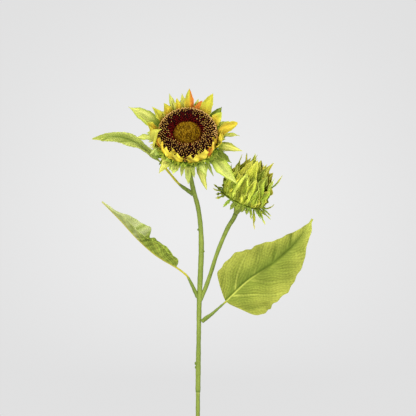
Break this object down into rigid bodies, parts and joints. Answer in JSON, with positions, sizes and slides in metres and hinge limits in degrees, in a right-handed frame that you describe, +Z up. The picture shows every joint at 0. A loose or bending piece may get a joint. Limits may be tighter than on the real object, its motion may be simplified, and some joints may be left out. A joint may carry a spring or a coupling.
{
  "type": "artificial sunflower spray",
  "caption": "Tall wire-cored artificial sunflower stem with an open head nodding forward, a closed bud on a side shoot and heart-shaped cloth leaves on thin petioles.",
  "frame": {"origin": "middle of the flat cut under the main stem", "axes": "+Z up along the straight lower stem, -Y towards the side the flower head faces, +X towards the bud"},
  "size_m": [0.2427, 0.1046, 0.6581],
  "materials": {
    "stem": "matte moulded coating over wire",
    "calyx": "matte moulded plastic",
    "leaf": "printed woven cloth, matte, with pressed veins",
    "seed": "short dark bristles with ochre tips",
    "disc": "fuzzy olive flock",
    "ray": "printed woven cloth, yellow with orange edges",
    "inner_bract": "printed woven cloth, pale yellow green",
    "bract": "printed woven cloth, yellow green",
    "bud_core": "soft dark filling",
    "bud_petal": "printed woven cloth, yellow green",
    "sepal": "narrow cut cloth, green with yellow tips"
  },
  "bodies": {
    "root": {"main_stem": "stem", "side_shoot": "stem", "petiole_right": "stem", "petiole_lower_left": "stem", "petiole_upper_left": "stem", "leaf_right": "leaf", "leaf_lower_left": "leaf", "leaf_upper_left": "leaf", "seed_ring": "seed", "disc_centre": "disc", "calyx_cup": "calyx", "ray_petals": "ray", "inner_bracts": "inner_bract", "middle_bracts": "bract", "outer_bracts": "bract", "bud_cup": "calyx", "bud_core": "bud_core", "bud_inner_petals": "bud_petal", "bud_outer_petals": "bud_petal", "bud_sepals": "sepal"}
  },
  "joints": []
}
